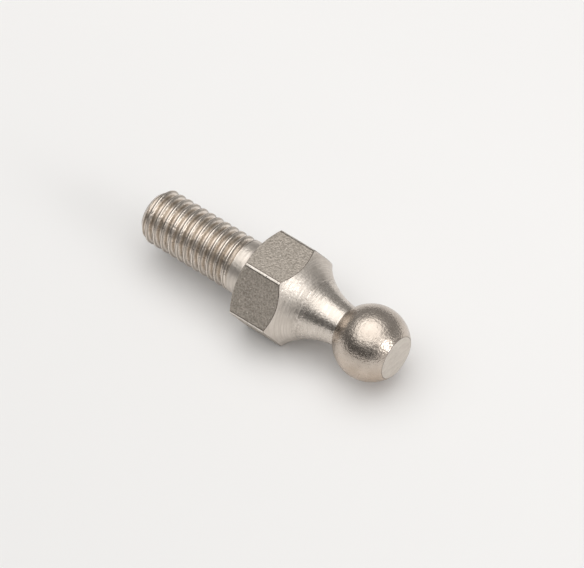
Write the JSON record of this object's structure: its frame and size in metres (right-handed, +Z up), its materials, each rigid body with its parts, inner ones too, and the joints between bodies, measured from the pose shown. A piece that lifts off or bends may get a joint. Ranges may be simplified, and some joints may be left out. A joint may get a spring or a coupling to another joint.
{
  "type": "threaded ball stud",
  "caption": "Turned steel ball stud: a screw shank, a hexagon for a spanner, a flared neck and a ball with a flat nose that snaps into a ball socket.",
  "frame": {"origin": "on the stud's axis, in the plane of the hexagon's seating face, where the screw shank starts", "axes": "+X along the axis towards the ball, +Z up, square to the hexagon flat that lies uppermost; the stud lies on the opposite flat"},
  "size_m": [0.0316, 0.0114, 0.01],
  "materials": {
    "steel": "bright turned, satin"
  },
  "bodies": {
    "root": {"ball_stud": "steel"}
  },
  "joints": []
}
